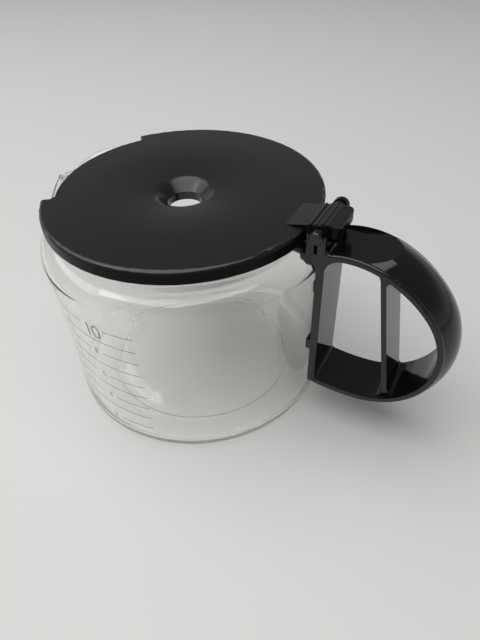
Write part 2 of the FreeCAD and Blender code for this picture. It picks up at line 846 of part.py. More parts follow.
def add_grip(body):
    radii, joins = grip_arcs(0)
    ear_left = pivot_reach - ear_radius
    ear_right = pivot_reach + ear_radius
    ear_flat = other_leg(ear_radius, d.ear_rise)
    (top_x, top_z), (low_x, low_z) = grip_centres[top_arc], grip_centres[bottom_arc]
    post_foot = low_z - other_leg(radii[bottom_arc], low_x - post_inside)
    corner_x = ear_right + d.grip_start_round
    corner_span = radii[top_arc] + d.grip_start_round
    corner_z = top_z + other_leg(corner_span, top_x - corner_x)
    side = new_sketch(body, "grip_side", "XZ_Plane")
    draw_outline(side, [
        line_to(post_inside, flare_foot),
        arc_left(ear_left, pivot_height - d.ear_foot_drop, d.ear_flare_radius),
        line_to(ear_left, pivot_height),
        arc_right(pivot_reach - ear_flat, ear_top, ear_radius),
        line_to(pivot_reach + ear_flat, ear_top),
        arc_right(ear_right, pivot_height, ear_radius),
        line_to(ear_right, corner_z),
        arc_left(
            top_x + (corner_x - top_x) * radii[top_arc] / corner_span,
            top_z + (corner_z - top_z) * radii[top_arc] / corner_span,
            d.grip_start_round,
        ),
        arc_right(*joins[top_arc], radii[top_arc]),
        arc_right(*joins[back_arc], radii[back_arc]),
        arc_right(*joins[round_arc], radii[round_arc]),
        arc_right(post_inside, post_foot, radii[bottom_arc]),
    ])
    blank = extruded(body, "Pad", "grip_blank", side, d.grip_width)
    radius_at = {(x.value, z.value): radius.value for (x, z), radius in zip(grip_centres, radii)}

    def on_outer_edge(edge):
        on_side = abs(abs(middle_of(edge).y) - d.grip_width.value / 2) < near
        if not on_side or edge.Curve.TypeId != "Part::GeomCircle":
            return False
        centre = edge.Curve.Center
        return any(
            math.hypot(centre.x - x, centre.z - z) < near and abs(edge.Curve.Radius - radius) < near
            for (x, z), radius in radius_at.items()
        )

    rounded(body, "grip_edges", blank, d.grip_edge_round, on_outer_edge)


def add_crown(body):
    # The outside of the grip swells across its width, from over the thumb recess round to the post's foot.
    radii, joins = grip_arcs(0)
    (top_x, top_z), (low_x, low_z) = grip_centres[top_arc], grip_centres[bottom_arc]
    path = new_sketch(body, "crown_path", "XZ_Plane")
    foot = low_z - other_leg(radii[bottom_arc], low_x - post_inside)
    ends = [*joins, (post_inside, foot)]
    draw_path(path, top_x, top_z + radii[top_arc], [(x, z, radius) for (x, z), radius in zip(ends, radii)])

    section = new_sketch(body, "crown_section", "YZ_Plane", top_x)
    half = d.grip_width / 2 - d.grip_crown_inset
    level = top_z + radii[top_arc]
    root_level = level - d.grip_band / 2
    draw_outline(section, [
        line_to(-half, root_level),
        line_to(half, root_level),
        line_to(half, level),
        arc_left(-half, level, (half * half + d.grip_crown * d.grip_crown) / (2 * d.grip_crown)),
    ])
    swept(body, "AdditivePipe", "crown", section, path)


def add_thumb_recess(body):
    # A scoop across the top of the grip whose floor climbs out through the crown.
    end_x, end_z = on_arc(top_arc, d.grip_top_radius + d.grip_crown, d.recess_end)
    over = lid_top + d.grip_crown
    side = new_sketch(body, "recess_side", "XZ_Plane")
    draw_outline(side, [
        line_to(pivot_reach, grip_start - d.recess_depth),
        arc_left(end_x, end_z, d.recess_floor_radius),
        line_to(end_x, over),
        line_to(pivot_reach, over),
    ])
    extruded(body, "Pocket", "thumb_recess", side, d.grip_width - 2 * d.recess_margin)


def add_window(body):
    radii, joins = grip_arcs(d.grip_band)
    (top_x, top_z), (low_x, low_z) = grip_centres[top_arc], grip_centres[bottom_arc]

    top_fillet_x = post_outside + d.window_top_fillet
    top_span = radii[top_arc] - d.window_top_fillet
    top_rise = other_leg(top_span, top_x - top_fillet_x)
    low_fillet_x = post_outside + d.window_bottom_fillet
    low_span = radii[bottom_arc] - d.window_bottom_fillet
    low_drop = other_leg(low_span, low_x - low_fillet_x)

    opening = new_sketch(body, "window_side", "XZ_Plane")
    draw_outline(opening, [
        line_to(post_outside, top_z + top_rise),
        arc_right(
            top_x + (top_fillet_x - top_x) * radii[top_arc] / top_span,
            top_z + top_rise * radii[top_arc] / top_span,
            d.window_top_fillet,
        ),
        arc_right(*joins[top_arc], radii[top_arc]),
        arc_right(*joins[back_arc], radii[back_arc]),
        arc_right(*joins[round_arc], radii[round_arc]),
        arc_right(
            low_x + (low_fillet_x - low_x) * radii[bottom_arc] / low_span,
            low_z - low_drop * radii[bottom_arc] / low_span,
            radii[bottom_arc],
        ),
        arc_right(post_outside, low_z - low_drop, d.window_bottom_fillet),
    ])
    window = extruded(body, "Pocket", "window", opening, through)
    inner_radii = [radius.value for radius in (*radii, d.window_top_fillet, d.window_bottom_fillet)]

    def on_window_edge(edge):
        spot = middle_of(edge)
        if abs(abs(spot.y) - d.grip_width.value / 2) > near:
            return False
        if edge.Curve.TypeId == "Part::GeomCircle":
            return any(abs(edge.Curve.Radius - radius) < near for radius in inner_radii)
        return abs(spot.x - post_outside.value) < near

    rounded(body, "window_edges", window, d.window_edge_round, on_window_edge)


def add_rib(body):
    # A slanted rib across the window, narrower than the grip, that flares where it meets the band.
    radii = grip_arcs(d.grip_band)[0]
    in_band = grip_arcs(d.grip_band / 2)[0]
    top_x, top_z = on_arc(top_arc, in_band[top_arc], d.rib_top_angle)
    low_x, low_z = on_arc(round_arc, in_band[round_arc], d.rib_bottom_angle)
    run = keep("rib_run", length_of(low_x - top_x, low_z - top_z))
    course_x = keep("rib_course_x", (low_x - top_x) / run)
    course_z = keep("rib_course_z", (low_z - top_z) / run)

    def flare(name, side, fillet, arc, end):
        # Where a fillet leaves the rib's face and where it meets the band's inner arc.
        centre_x, centre_z = grip_centres[arc]
        radius = radii[arc]
        out = d.rib_thickness / 2
        face_x = top_x - side * course_z * out
        face_z = top_z + side * course_x * out
        to_x = keep(f"{name}_to_x", face_x - side * course_z * fillet - centre_x)
        to_z = keep(f"{name}_to_z", face_z + side * course_x * fillet - centre_z)
        lead = keep(f"{name}_lead", to_x * course_x + to_z * course_z)
        reach = other_leg(radius - fillet, root(to_x * to_x + to_z * to_z - lead * lead))
        travel = keep(f"{name}_travel", end * reach - lead)
        grow = radius / (radius - fillet)
        on_face = (face_x + course_x * travel, face_z + course_z * travel)
        on_band = (centre_x + (to_x + course_x * travel) * grow, centre_z + (to_z + course_z * travel) * grow)
        return on_face, on_band

    front_top_face, front_top_band = flare("front_top", -1, d.rib_front_fillet, top_arc, -1)
    front_low_face, front_low_band = flare("front_low", -1, d.rib_foot_fillet, round_arc, 1)
    back_top_face, back_top_band = flare("back_top", 1, d.rib_back_fillet, back_arc, -1)
    back_low_face, back_low_band = flare("back_low", 1, d.rib_back_fillet, round_arc, 1)
    side = new_sketch(body, "rib_side", "XZ_Plane")
    draw_outline(side, [
        line_to(*front_top_band),
        arc_right(*front_top_face, d.rib_front_fillet),
        line_to(*front_low_face),
        arc_right(*front_low_band, d.rib_foot_fillet),
        line_to(low_x, low_z),
        line_to(*back_low_band),
        arc_right(*back_low_face, d.rib_back_fillet),
        line_to(*back_top_face),
        arc_right(*back_top_band, d.rib_back_fillet),
        line_to(top_x, top_z),
    ])
    extruded(body, "Pad", "rib", side, d.grip_width - 2 * d.rib_inset)


def add_rest_pads(body):
    # Two pads on the post that lean on the glass when the jug is lifted.
    for name, drop in (("upper", d.rest_pad_upper_drop), ("lower", d.rest_pad_lower_drop)):
        pad = new_sketch(body, f"rest_pad_{name}_side", "XZ_Plane")
        top = belly_height - drop
        face = keep(f"rest_pad_{name}_face", wall_radius_at(top) + d.glass_clearance)
        draw_box(pad, face, top - d.rest_pad_height, post_inside + overlap, top)
        extruded(body, "Pad", f"rest_pad_{name}", pad, d.grip_width - 2 * d.rest_pad_inset)


def add_saddle(body):
    # A block that reaches over the shoulder of the glass to the neck band. Its underside follows the glass.
    side = new_sketch(body, "saddle_side", "XZ_Plane")
    foot = belly_height + d.glass_clearance
    draw_outline(side, [
        line_to(saddle_start, band_bottom),
        line_to(saddle_start, foot),
        line_to(d.belly_radius - d.saddle_toe_inset, foot),
        line_to(post_inside + overlap, flare_foot),
        line_to(post_inside + overlap, band_bottom),
    ])
    extruded(body, "Pad", "saddle", side, d.grip_width - 2 * d.saddle_inset)

    cheek = new_sketch(body, "cheek_side", "XZ_Plane")
    draw_box(cheek, neck_radius + d.cheek_from_neck, foot + d.cheek_rise, post_inside + overlap, band_bottom)
    extruded(body, "Pad", "cheeks", cheek, d.grip_width - 2 * d.cheek_inset)

    glass = new_sketch(body, "glass_clearance_section", "XZ_Plane")
    radius = d.shoulder_radius + d.glass_clearance
    draw_outline(glass, [
        line_to(0, belly_height),
        line_to(d.belly_radius + d.glass_clearance, belly_height),
        arc_left(shoulder_centre, belly_height + radius, radius),
        line_to(0, belly_height + radius),
    ])
    turned(body, "Groove", "glass_relief", glass)

    hole = new_sketch(body, "screw_pilot_plan", "XY_Plane", band_bottom)
    draw_circle(hole, screw_reach, 0, d.screw_radius + d.screw_clearance)
    extruded(body, "Pocket", "screw_pilot", hole, through)


def add_cradles(body):
    # Room for the lid's barrel and tab between the two ears, then a snap-in seat for the pin in each ear.
    front = new_sketch(body, "barrel_room_side", "XZ_Plane")
    draw_box(front, saddle_start - overlap, band_bottom, pivot_reach, ear_top + overlap)
    extruded(body, "Pocket", "barrel_room", front, 2 * ear_inside)

    room = new_sketch(body, "tab_room_side", "XZ_Plane")
    draw_circle(room, pivot_reach, pivot_height, tab_swing + d.swing_clearance)
    extruded(body, "Pocket", "tab_room", room, 2 * ear_inside)

    seat = new_sketch(body, "cradle_side", "XZ_Plane")
    draw_circle(seat, pivot_reach, pivot_height, bore_radius)
    extruded(body, "Pocket", "cradle", seat, through)

    slot = new_sketch(body, "cradle_slot_side", "XZ_Plane")
    half = d.cradle_slot_width / 2
    foot = pivot_height - bore_radius - d.cradle_slot_depth
    draw_box(slot, pivot_reach - half, foot, pivot_reach + half, pivot_height)
    extruded(body, "Pocket", "cradle_slot", slot, through)


pieces = [
    make_glass_jug(),
    make_neck_band(),
    make_band_screw(),
    make_handle(),
    make_hinge_pin(),
    make_lid(),
]

doc.recompute()
for item in doc.Objects:
    if "Invalid" in item.State or "Error" in item.State:
        raise RuntimeError(f"{item.Name} failed: {item.State}")

os.makedirs("parts", exist_ok=True)
for piece in pieces:
    shape = piece.Shape
    if shape.isNull() or not shape.isValid():
        raise RuntimeError(f"{piece.Label} has no valid shape")
    shape.exportStep(f"parts/{piece.Label}.step")
    print(piece.Label, len(shape.Solids), "solid", round(shape.Volume, 1), "mm3")
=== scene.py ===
import math

import bmesh
import bpy
from mathutils import Matrix, Vector


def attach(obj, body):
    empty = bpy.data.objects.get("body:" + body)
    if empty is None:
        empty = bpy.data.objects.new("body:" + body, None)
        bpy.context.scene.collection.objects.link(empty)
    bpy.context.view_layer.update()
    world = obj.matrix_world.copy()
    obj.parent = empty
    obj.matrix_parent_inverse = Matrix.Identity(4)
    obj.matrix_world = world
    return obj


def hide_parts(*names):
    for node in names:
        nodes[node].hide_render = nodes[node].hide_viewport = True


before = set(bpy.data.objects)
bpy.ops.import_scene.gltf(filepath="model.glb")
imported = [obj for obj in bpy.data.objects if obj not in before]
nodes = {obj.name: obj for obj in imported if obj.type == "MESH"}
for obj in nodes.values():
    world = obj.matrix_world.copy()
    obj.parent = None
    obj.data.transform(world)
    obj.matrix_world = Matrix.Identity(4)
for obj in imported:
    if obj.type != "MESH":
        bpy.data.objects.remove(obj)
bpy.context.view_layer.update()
mm = 0.001
print("frame loaded with", ", ".join(sorted(nodes)))


# small helpers for shader trees

def addNode(tree, kind, **values):
    node = tree.nodes.new(kind)
    for name, value in values.items():
        if hasattr(node, name):
            setattr(node, name, value)
        else:
            node.inputs[name.replace("_", " ")].default_value = value
    return node


def findNode(tree, kind):
    return next(node for node in tree.nodes if node.type == kind)


def link(tree, outSocket, inSocket):
    tree.links.new(outSocket, inSocket)


def newGroup(name, inputs, outputs):
    tree = bpy.data.node_groups.new(name, "ShaderNodeTree")
    for label, kind, value in inputs:
        socket = tree.interface.new_socket(label, in_out="INPUT", socket_type=kind)
        socket.default_value = value
    for label, kind in outputs:
        tree.interface.new_socket(label, in_out="OUTPUT", socket_type=kind)
    return tree, tree.nodes.new("NodeGroupInput"), tree.nodes.new("NodeGroupOutput")


def useGroup(tree, group, **values):
    node = tree.nodes.new("ShaderNodeGroup")
    node.node_tree = group
    for name, value in values.items():
        node.inputs[name].default_value = value
    return node


def newMaterial(name):
    material = bpy.data.materials.new(name)
    material.use_nodes = True
    return material, material.node_tree, findNode(material.node_tree, "BSDF_PRINCIPLED")


def dress(target, material):
    target.data.materials.clear()
    target.data.materials.append(material)


def meshData(name, mesh):
    data = bpy.data.meshes.new(name)
    mesh.to_mesh(data)
    mesh.free()
    return data


def addObject(data, material):
    added = bpy.data.objects.new(data.name, data)
    bpy.context.collection.objects.link(added)
    dress(added, material)
    return added


# shared surface effects

def makeMouldGrain():
    # the faint orange peel and finer pits that a steel mould leaves on plastic
    pitsToPeel = 2.2
    tree, entry, leave = newGroup(
        "mouldGrain",
        [("Scale", "NodeSocketFloat", 1400.0), ("Pits", "NodeSocketFloat", 0.3)],
        [("Height", "NodeSocketFloat")],
    )
    place = addNode(tree, "ShaderNodeTexCoord")
    peel = addNode(tree, "ShaderNodeTexNoise", Detail=3.0, Roughness=0.6)
    pits = addNode(tree, "ShaderNodeTexVoronoi", feature="F1")
    pitScale = addNode(tree, "ShaderNodeMath", operation="MULTIPLY")
    pitScale.inputs[1].default_value = pitsToPeel
    pitDepth = addNode(tree, "ShaderNodeMath", operation="MULTIPLY")
    total = addNode(tree, "ShaderNodeMath", operation="ADD")
    link(tree, place.outputs["Object"], peel.inputs["Vector"])
    link(tree, place.outputs["Object"], pits.inputs["Vector"])
    link(tree, entry.outputs["Scale"], peel.inputs["Scale"])
    link(tree, entry.outputs["Scale"], pitScale.inputs[0])
    link(tree, pitScale.outputs[0], pits.inputs["Scale"])
    link(tree, pits.outputs["Distance"], pitDepth.inputs[0])
    link(tree, entry.outputs["Pits"], pitDepth.inputs[1])
    link(tree, peel.outputs["Fac"], total.inputs[0])
    link(tree, pitDepth.outputs[0], total.inputs[1])
    link(tree, total.outputs[0], leave.inputs["Height"])
    return tree


def makeHandling():
    # soft patches where hands and cloths have wiped the surface, with a scatter of dust
    tree, entry, leave = newGroup(
        "handling",
        [
            ("Patch Size", "NodeSocketFloat", 40.0),
            ("Low", "NodeSocketFloat", 0.2),
            ("High", "NodeSocketFloat", 0.3),
            ("Dust Scale", "NodeSocketFloat", 260.0),
            ("Dust", "NodeSocketFloat", 0.06),
        ],
        [("Roughness", "NodeSocketFloat"), ("Dust", "NodeSocketFloat")],
    )
    place = addNode(tree, "ShaderNodeTexCoord")
    patch = addNode(tree, "ShaderNodeTexNoise", Detail=4.0, Roughness=0.55, Distortion=0.6)
    spread = addNode(tree, "ShaderNodeMapRange", From_Min=0.35, From_Max=0.68)
    speck = addNode(tree, "ShaderNodeTexVoronoi", feature="F1")
    keep = addNode(tree, "ShaderNodeMath", operation="LESS_THAN")
    link(tree, place.outputs["Object"], patch.inputs["Vector"])
    link(tree, place.outputs["Object"], speck.inputs["Vector"])
    link(tree, entry.outputs["Patch Size"], patch.inputs["Scale"])
    link(tree, patch.outputs["Fac"], spread.inputs["Value"])
    link(tree, entry.outputs["Low"], spread.inputs["To Min"])
    link(tree, entry.outputs["High"], spread.inputs["To Max"])
    link(tree, spread.outputs["Result"], leave.inputs["Roughness"])
    link(tree, entry.outputs["Dust Scale"], speck.inputs["Scale"])
    link(tree, speck.outputs["Distance"], keep.inputs[0])
    link(tree, entry.outputs["Dust"], keep.inputs[1])
    link(tree, keep.outputs[0], leave.inputs["Dust"])
    return tree


mouldGrain = makeMouldGrain()
handling = makeHandling()
print("shared effects made")


# black plastics

def makePlastic(name, look):
    material, tree, shader = newMaterial(name)
    wiped = useGroup(tree, handling, **look["handling"])
    grain = useGroup(tree, mouldGrain, **look["grain"])
    colour = addNode(tree, "ShaderNodeMix", data_type="RGBA")
    colour.inputs["A"].default_value = (*look["colour"], 1)
    colour.inputs["B"].default_value = (*look["dustColour"], 1)
    bump = addNode(tree, "ShaderNodeBump", Strength=look["bump"], Distance=look["depth"])
    link(tree, wiped.outputs["Dust"], colour.inputs["Factor"])
    link(tree, colour.outputs["Result"], shader.inputs["Base Color"])
    link(tree, wiped.outputs["Roughness"], shader.inputs["Roughness"])
    link(tree, grain.outputs["Height"], bump.inputs["Height"])
    link(tree, bump.outputs["Normal"], shader.inputs["Normal"])
    shader.inputs["IOR"].default_value = look["ior"]
    return material


def darkenSkirt(material, look):
    # the upright skirt round the rim gets painted shade, a darker colour for the dark reflection it catches,
    # and has no coat; the rest keeps its satin coat
    tree = material.node_tree
    shader = findNode(tree, "BSDF_PRINCIPLED")
    place = addNode(tree, "ShaderNodeTexCoord")
    facing = addNode(tree, "ShaderNodeSeparateXYZ")
    upward = addNode(tree, "ShaderNodeMath", operation="ABSOLUTE")
    sloped = addNode(tree, "ShaderNodeMapRange", From_Min=look["uprightBelow"], From_Max=look["flatAbove"])
    level = addNode(tree, "ShaderNodeVectorMath", operation="MULTIPLY")
    level.inputs[1].default_value = (1, 1, 0)
    reach = addNode(tree, "ShaderNodeVectorMath", operation="LENGTH")
    middle = addNode(
        tree, "ShaderNodeMapRange", From_Min=look["rimStart"], From_Max=look["rimEnd"], To_Min=1, To_Max=0
    )
    satinUnshaded = addNode(tree, "ShaderNodeMath", operation="MAXIMUM")
    link(tree, place.outputs["Normal"], facing.inputs[0])
    link(tree, facing.outputs["Z"], upward.inputs[0])
    link(tree, upward.outputs[0], sloped.inputs["Value"])
    link(tree, place.outputs["Object"], level.inputs[0])
    link(tree, level.outputs[0], reach.inputs[0])
    link(tree, reach.outputs["Value"], middle.inputs["Value"])
    link(tree, sloped.outputs["Result"], satinUnshaded.inputs[0])
    link(tree, middle.outputs["Result"], satinUnshaded.inputs[1])
    dusty = shader.inputs["Base Color"].links[0].from_socket
    # painted shade: the upright skirt is mixed to a darker colour than the satin top
    skirtShade = addNode(tree, "ShaderNodeMix", data_type="RGBA")
    skirtShade.inputs["A"].default_value = (*look["skirtShadeColour"], 1)
    link(tree, satinUnshaded.outputs[0], skirtShade.inputs["Factor"])
    link(tree, dusty, skirtShade.inputs["B"])
    link(tree, skirtShade.outputs["Result"], shader.inputs["Base Color"])
    link(tree, satinUnshaded.outputs[0], shader.inputs["Coat Weight"])
    shader.inputs["Coat Roughness"].default_value = look["coatRoughness"]
    shader.inputs["Coat IOR"].default_value = look["ior"]
    shader.inputs["Specular IOR Level"].default_value = look["specular"]


lidLook = {
    "colour": (0.0085, 0.0085, 0.0092),
    "dustColour": (0.05, 0.05, 0.05),
    "handling": {"Patch Size": 22.0, "Low": 0.28, "High": 0.36, "Dust Scale": 420.0, "Dust": 0.05},
    "grain": {"Scale": 1500.0, "Pits": 0.35},
    "bump": 0.25,
    "depth": 0.00006,
    "ior": 1.46,
    "uprightBelow": 0.15,
    "flatAbove": 0.7,
    "rimStart": 0.058,
    "rimEnd": 0.064,
    # painted shade colour for the upright skirt
    "skirtShadeColour": (0.003, 0.003, 0.0033),
    "coatRoughness": 0.22,
    "specular": 0.1,
}
handleLook = {
    "colour": (0.005, 0.005, 0.0053),
    "dustColour": (0.03, 0.03, 0.03),
    "handling": {"Patch Size": 35.0, "Low": 0.06, "High": 0.12, "Dust Scale": 380.0, "Dust": 0.04},
    "grain": {"Scale": 700.0, "Pits": 0.1},
    "bump": 0.1,
    "depth": 0.00005,
    "ior": 1.5,
}
lidPlastic = makePlastic("satinBlackLid", lidLook)
darkenSkirt(lidPlastic, lidLook)
handlePlastic = makePlastic("glossBlackHandle", handleLook)


# clear glass

glassLook = {
    "colour": (0.99, 0.99, 0.985),
    "ior": 1.47,
    "wallShade": (0.955, 0.955, 0.95),
    "heelShade": (0.86, 0.86, 0.85),
    "heelTop": 0.005,
    "groundFoot": 0.45,
    "footTop": 0.0009,
    "handling": {"Patch Size": 18.0, "Low": 0.0, "High": 0.03, "Dust": 0.0},
}


def makeGlass(look):
    # clear glass on a ground foot; its shadow is light, and deeper under the thick heel
    material, tree, shader = newMaterial("clearGlass")
    shader.inputs["Base Color"].default_value = (*look["colour"], 1)
    shader.inputs["Transmission Weight"].default_value = 1
    shader.inputs["IOR"].default_value = look["ior"]
    wiped = useGroup(tree, handling, **look["handling"])
    place = addNode(tree, "ShaderNodeTexCoord")
    height = addNode(tree, "ShaderNodeSeparateXYZ")
    ground = addNode(
        tree, "ShaderNodeMapRange", From_Max=look["footTop"], To_Min=look["groundFoot"], To_Max=0
    )
    rougher = addNode(tree, "ShaderNodeMath", operation="MAXIMUM")
    link(tree, place.outputs["Object"], height.inputs[0])
    link(tree, height.outputs["Z"], ground.inputs["Value"])
    link(tree, wiped.outputs["Roughness"], rougher.inputs[0])
    link(tree, ground.outputs["Result"], rougher.inputs[1])
    link(tree, rougher.outputs[0], shader.inputs["Roughness"])
    heel = addNode(tree, "ShaderNodeMapRange", From_Max=look["heelTop"])
    shade = addNode(tree, "ShaderNodeMix", data_type="RGBA")
    shade.inputs["A"].default_value = (*look["heelShade"], 1)
    shade.inputs["B"].default_value = (*look["wallShade"], 1)
    through = addNode(tree, "ShaderNodeBsdfTransparent")
    path = addNode(tree, "ShaderNodeLightPath")
    either = addNode(tree, "ShaderNodeMixShader")
    out = findNode(tree, "OUTPUT_MATERIAL")
    link(tree, height.outputs["Z"], heel.inputs["Value"])
    link(tree, heel.outputs["Result"], shade.inputs["Factor"])
    link(tree, shade.outputs["Result"], through.inputs["Color"])
    link(tree, path.outputs["Is Shadow Ray"], either.inputs[0])
    link(tree, shader.outputs[0], either.inputs[1])
    link(tree, through.outputs[0], either.inputs[2])
    link(tree, either.outputs[0], out.inputs["Surface"])
    return material


clearGlass = makeGlass(glassLook)


# blown glass bowl, in millimetres: one closed skin, outside up to the lip and back down the inside

bowl = {
    "wall": 2.4,
    "foot": 73.0,
    "heel": 6.0,
    "roll": 46.0,
    "rollHalf": 5.0,
    "pushUp": 2.0,
    "ring": 52.2,
    "beadHalf": 1.0,
    "beadRise": 0.85,
    "heelStart": 64.0,
    "heelClimb": 6.0,
    "belly": 74.0,
    "bellyHeight": 92.0,
    "waistCurve": 690.0,
    "shoulder": 10.0,
    "shoulderTurn": 89.5,  # degrees, just short of level, where the neck's fillet takes over
    "neck": 61.6,
    "neckFillet": 2.5,
    "neckBottom": 104.5,
    "neckTop": 107.7,
    # rows of points on the base by their reach, then the count of rows in each stretch of the section
    "middleRows": [0, 15, 30],
    "footRows": [56, 61],
    "ringOutside": 58,
    "beadRows": 12,
    "heelRows": 10,
    "innerHeelRows": 12,
    "wallRows": 22,
    "shoulderRows": 16,
    "filletRows": 9,
    "lipRows": 12,
    "lipEdgeRows": 10,
    # columns of points round half the bowl: first angle from the spout, step and count
    "columns": [(0.0, 0.5, 25), (12.5, 1.25, 23), (41.0, 139 / 54, 54)],
    # by angle from the spout: reach and height of the lip, the same of the bend below it, lip thickness
    "lips": [
        (0, 80.15, 104.0, 68.5, 109.4, 1.9),
        (2, 79.5, 104.0, 68.4, 109.5, 1.9),
        (4, 77.6, 104.7, 67.8, 110.2, 1.9),
        (6, 75.1, 106.8, 67.2, 111.0, 1.9),
        (8, 72.7, 109.2, 66.5, 111.6, 1.95),
        (10, 70.5, 111.1, 65.3, 111.9, 2.0),
        (12, 68.7, 112.4, 64.0, 112.0, 2.05),
        (16, 66.2, 113.3, 62.2, 111.9, 2.2),
        (20, 65.0, 113.4, 61.3, 111.5, 2.3),
        (25, 64.1, 112.9, 60.9, 110.9, 2.45),
        (30, 63.8, 112.0, 60.7, 110.2, 2.55),
        (36, 63.7, 111.3, 60.6, 109.6, 2.6),
        (40, 63.7, 111.2, 60.6, 109.5, 2.6),
        (180, 63.7, 111.2, 60.6, 109.5, 2.6),
    ],
}


def arcPoints(centre, radius, start, end, count):
    # points round an arc, angles in degrees, the first one left out
    angles = [math.radians(start + (end - start) * step / count) for step in range(1, count + 1)]
    return [(centre[0] + radius * math.cos(a), centre[1] + radius * math.sin(a)) for a in angles]


def wallRadius(height, inset):
    low, high = Vector((bowl["foot"], bowl["heel"])), Vector((bowl["belly"], bowl["bellyHeight"]))
    chord = high - low
    out = math.sqrt(bowl["waistCurve"] ** 2 - chord.length_squared / 4)
    centre = (low + high) / 2 + Vector((chord.y, -chord.x)).normalized() * out
    return centre.x - math.sqrt((bowl["waistCurve"] + inset) ** 2 - (height - centre.y) ** 2)


def pushUpLevel(reach):
    t = max(0, min(1, (reach - bowl["roll"] + bowl["rollHalf"]) / (2 * bowl["rollHalf"])))
    return bowl["pushUp"] * (1 - t * t * (3 - 2 * t))


def baseOutside():
    # the base seen from below: a push-up that rolls down to the flat foot ring, then the round heel
    flat = bowl["foot"] - bowl["heel"]
    first = bowl["roll"] - bowl["rollHalf"]
    roll = [first + step for step in range(int(2 * bowl["rollHalf"]) + 1)]
    points = [(reach, pushUpLevel(reach)) for reach in (*bowl["middleRows"], *roll, *bowl["footRows"], flat)]
    return points + arcPoints((flat, bowl["heel"]), bowl["heel"], -90, 0, bowl["heelRows"])


def baseInside():
    # the base seen from above: the same roll, a low round bead along the ring, and the thicker heel
    wall, ring, half = bowl["wall"], bowl["ring"], bowl["beadHalf"]
    first = bowl["roll"] - bowl["rollHalf"]
    roll = [first + step for step in range(int(2 * bowl["rollHalf"]))]
    reaches = [reach for reach in (*bowl["middleRows"], *roll) if reach < ring - half]
    points = [(reach, wall + pushUpLevel(reach)) for reach in reaches]
    for step in range(bowl["beadRows"] + 1):
        turn = math.pi * step / bowl["beadRows"]
        reach = ring - half * math.cos(turn)
        points.append((reach, wall + pushUpLevel(reach) + bowl["beadRise"] * math.sin(turn)))
    start, climb = bowl["heelStart"], bowl["heelClimb"]
    span = wallRadius(wall + climb, wall) - start
    points += [(bowl["ringOutside"], wall), (start, wall)]
    for step in range(1, bowl["innerHeelRows"] + 1):
        turn = math.radians(90 * step / bowl["innerHeelRows"])
        points.append((start + span * math.sin(turn), wall + climb * (1 - math.cos(turn))))
    return points


def bowlSection(inset):
    # half section from the middle of the base up to the neck, inset from the outer face
    points = baseInside() if inset else baseOutside()
    start = points[-1][1]
    for step in range(1, bowl["wallRows"] + 1):
        height = start + (bowl["bellyHeight"] - start) * step / bowl["wallRows"]
        points.append((wallRadius(height, inset), height))
    turn = bowl["shoulderTurn"]
    shoulderAt = (bowl["belly"] - bowl["shoulder"], bowl["bellyHeight"])
    points += arcPoints(shoulderAt, bowl["shoulder"] - inset, 0, turn, bowl["shoulderRows"])
    filletAt = (bowl["neck"] + bowl["neckFillet"], bowl["neckBottom"])
    points += arcPoints(filletAt, bowl["neckFillet"] + inset, 180 + turn, 180, bowl["filletRows"])
    points += [(bowl["neck"] - inset, (bowl["neckBottom"] + bowl["neckTop"]) / 2)]
    return points


def smoothLips(angle):
    # the lip table read at any angle, by a curve through its rows
    rows = bowl["lips"]
    rows = [(-row[0], *row[1:]) for row in rows[3:0:-1]] + rows
    at = next(index for index in range(1, len(rows)) if angle <= rows[index][0])
    before, low, high, after = (rows[max(0, min(len(rows) - 1, at + step))] for step in (-2, -1, 0, 1))
    span = high[0] - low[0]
    t = (angle - low[0]) / span
    out = []
    for column in range(1, len(low)):
        slopeLow = (high[column] - before[column]) / max(high[0] - before[0], span) * span
        slopeHigh = (after[column] - low[column]) / max(after[0] - low[0], span) * span
        value = (2 * t**3 - 3 * t**2 + 1) * low[column] + (t**3 - 2 * t**2 + t) * slopeLow
        out.append(value + (3 * t**2 - 2 * t**3) * high[column] + (t**3 - t**2) * slopeHigh)
    return out


def lipSection(angle):
    # from the neck's top over the lip and back: the wall's middle line bends out, with glass either side
    reach, height, bendReach, bendHeight, thick = smoothLips(angle)
    start = Vector((bowl["neck"] - bowl["wall"] / 2, bowl["neckTop"]))
    bend, lip = Vector((bendReach, bendHeight)), Vector((reach, height))
    outer, inner = [], []
    for step in range(bowl["lipRows"] + 1):
        t = step / bowl["lipRows"]
        middle = start * (1 - t) ** 2 + bend * 2 * t * (1 - t) + lip * t * t
        along = ((bend - start) * (1 - t) + (lip - bend) * t).normalized()
        side = Vector((along.y, -along.x))
        half = (bowl["wall"] * (1 - t) + thick * t) / 2
        outer.append(middle + side * half)
        inner.append(middle - side * half)
    turn = math.degrees(math.atan2(side.y, side.x))
    edge = arcPoints(lip, thick / 2, turn, turn + 180, bowl["lipEdgeRows"])[:-1]
    return outer + [Vector(point) for point in edge] + inner[::-1]


